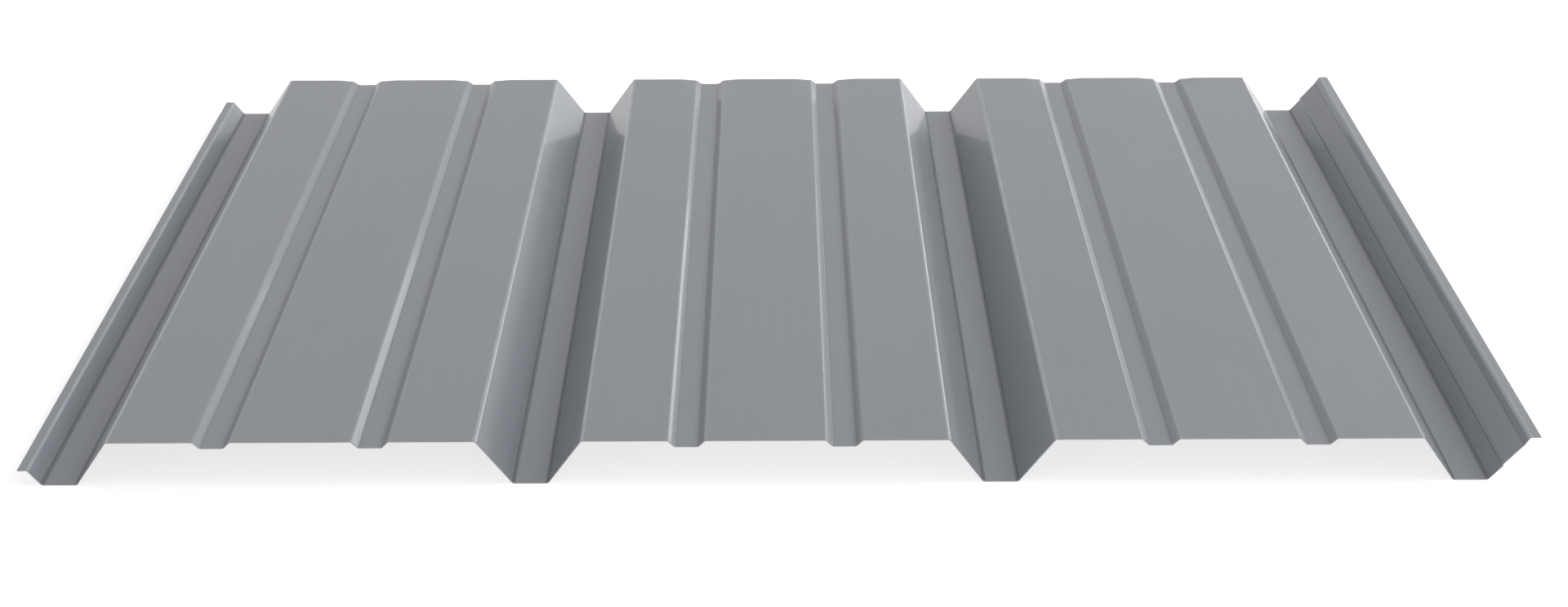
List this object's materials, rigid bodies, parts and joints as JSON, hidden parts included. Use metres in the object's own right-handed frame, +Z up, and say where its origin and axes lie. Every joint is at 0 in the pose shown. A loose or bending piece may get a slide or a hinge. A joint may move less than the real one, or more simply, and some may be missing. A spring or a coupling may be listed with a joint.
{
  "type": "corrugated metal roof panel",
  "caption": "Roll-formed steel roof panel with trapezoidal main ribs, shallow stiffeners in its flat pans, a lipped overlapping edge and a stepped underlapping leg with a bearing foot.",
  "frame": {"origin": "under the middle of the sheet's overall width and length, level with the outer faces of the rib tops that it lies on", "axes": "+X across the panel towards the underlapping edge with the foot, +Y along the ribs, +Z up and out of the reverse face; in use on a roof the panel is turned over, so that -Z faces the weather"},
  "size_m": [0.981, 0.6096, 0.0323],
  "materials": {
    "sheet_paint": "satin mid-grey coil paint with a faint metallic sheen"
  },
  "bodies": {
    "root": {"panel_sheet": "sheet_paint"}
  },
  "joints": []
}
